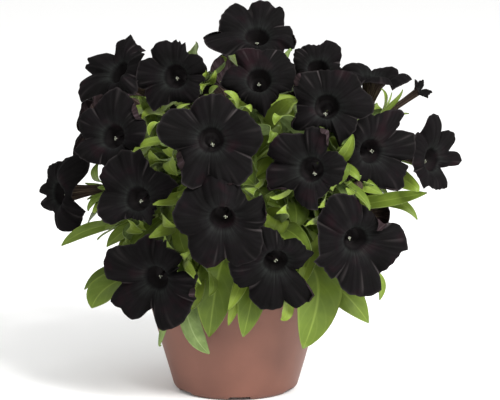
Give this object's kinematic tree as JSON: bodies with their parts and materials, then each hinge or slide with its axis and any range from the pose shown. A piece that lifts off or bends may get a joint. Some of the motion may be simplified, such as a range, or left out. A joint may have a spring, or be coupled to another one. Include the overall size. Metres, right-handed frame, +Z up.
{
  "type": "potted petunia",
  "caption": "Bushy petunia with near-black funnel flowers facing all ways over yellow-green leaves, standing in a plain round tapered plastic nursery pot.",
  "frame": {"origin": "centre of the pot's underside, on the surface that it stands on", "axes": "+Z up along the pot's axis, -Y towards the front, +X to the right as the front is seen"},
  "size_m": [0.2675, 0.2279, 0.2526],
  "materials": {
    "pot_plastic": "satin",
    "peat_soil": "matte",
    "green_stem": "matte",
    "green_leaf": "satin",
    "black_petal": "matte"
  },
  "bodies": {
    "root": {"pot": "pot_plastic", "potting_soil": "peat_soil", "stem_front": "green_stem", "stem_front_right": "green_stem", "stem_right_front": "green_stem", "stem_right_inner": "green_stem", "stem_right": "green_stem", "stem_right_back": "green_stem", "stem_back_right": "green_stem", "stem_back": "green_stem", "stem_back_left": "green_stem", "stem_left": "green_stem", "stem_left_front": "green_stem", "stem_front_left": "green_stem", "stem_centre": "green_stem", "flower_top": "black_petal", "flower_top_left": "black_petal", "flower_upper_left": "black_petal", "flower_upper_middle": "black_petal", "flower_upper_right_back": "black_petal", "flower_upper_right": "black_petal", "flower_trumpet": "black_petal", "flower_left": "black_petal", "flower_centre": "black_petal", "flower_middle_right": "black_petal", "flower_right": "black_petal", "flower_far_right": "black_petal", "flower_far_left": "black_petal", "flower_middle_left": "black_petal", "flower_front": "black_petal", "flower_low_front": "black_petal", "flower_low_right": "black_petal", "flower_low_left": "black_petal", "flower_back": "black_petal", "flower_back_left": "black_petal", "flower_back_right": "black_petal", "flower_low_back": "black_petal", "flower_low_back_left": "black_petal", "flower_low_back_right": "black_petal", "flower_side_left": "black_petal", "flower_side_right": "black_petal", "flower_low_side_right": "black_petal", "flower_top_back": "black_petal", "flower_top_back_right": "black_petal", "bud_opening_right": "black_petal", "bud_small_right": "black_petal", "leaf_front_left": "green_leaf", "leaf_front_middle": "green_leaf", "leaf_front_right": "green_leaf", "leaf_right_low": "green_leaf", "leaf_right_rim": "green_leaf", "leaf_left_rim": "green_leaf", "leaf_left_low": "green_leaf", "leaf_left_long": "green_leaf", "leaf_right_long": "green_leaf", "leaf_right_middle": "green_leaf", "leaf_back_left": "green_leaf", "leaf_back_middle": "green_leaf", "leaf_back_right": "green_leaf"}
  },
  "joints": []
}
